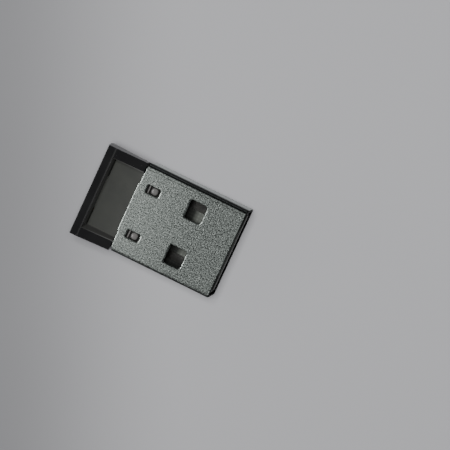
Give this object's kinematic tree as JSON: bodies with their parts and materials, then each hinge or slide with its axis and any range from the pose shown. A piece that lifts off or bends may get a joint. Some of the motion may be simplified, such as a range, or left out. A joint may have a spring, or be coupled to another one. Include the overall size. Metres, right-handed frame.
{
  "type": "usb wifi adapter",
  "caption": "Nano USB wireless network adapter: a bare steel USB-A plug closed by a short glossy black cap with an open recess.",
  "frame": {"origin": "middle of the part's footprint on the surface it lies on, plain face down", "axes": "+X out of the plug's mouth, +Y across the plug, +Z the normal of the face with the open recess"},
  "size_m": [0.0197, 0.0122, 0.0054],
  "materials": {
    "shell_steel": "satin nickel-plated steel with a fine speckled grain",
    "grey_carrier_plastic": "fine matte texture, dark grey",
    "black_carrier_plastic": "fine matte texture, black",
    "cap_gloss_black": "polished black, with a greyer satin texture on the walls of the recess",
    "cap_back_black": "polished black, a little greyer than the front frame",
    "light_guide_clear": "milky clear",
    "solder_mask": "dark grey solder mask over glass weave, with bare laminate at the cut edges",
    "contact_plate": "dull grey nickel-coloured contact plating, satin",
    "chip_epoxy": "moulded black epoxy, fine grain",
    "solder_tin": "tinned, satin",
    "crystal_ceramic": "fired brown ceramic",
    "nickel_lid": "brushed nickel lid",
    "ferrite_grey": "moulded ferrite, rough",
    "capacitor_ceramic": "tan ceramic body with tinned ends",
    "resistor_black": "black glazed film on white ceramic, tinned ends",
    "rf_ceramic": "pale blue-grey ceramic with tinned ends",
    "copper_trace": "copper under solder mask",
    "led_body": "white base with a clear resin dome"
  },
  "bodies": {
    "root": {"plug_shell": "shell_steel", "upper_carrier": "grey_carrier_plastic", "lower_carrier": "black_carrier_plastic", "cap_front_frame": "cap_gloss_black", "cap_back_cover": "cap_back_black", "light_guide": "light_guide_clear", "circuit_board": "solder_mask", "contact_supply": "contact_plate", "contact_data_minus": "contact_plate", "contact_data_plus": "contact_plate", "contact_ground": "contact_plate", "radio_chip": "chip_epoxy", "radio_chip_lands": "solder_tin", "crystal_base": "crystal_ceramic", "crystal_lid": "nickel_lid", "voltage_regulator": "chip_epoxy", "regulator_leads": "solder_tin", "power_inductor": "ferrite_grey", "esd_array": "chip_epoxy", "capacitors": "capacitor_ceramic", "resistors": "resistor_black", "rf_matching_parts": "rf_ceramic", "antenna_trace": "copper_trace", "status_led": "led_body"}
  },
  "joints": []
}
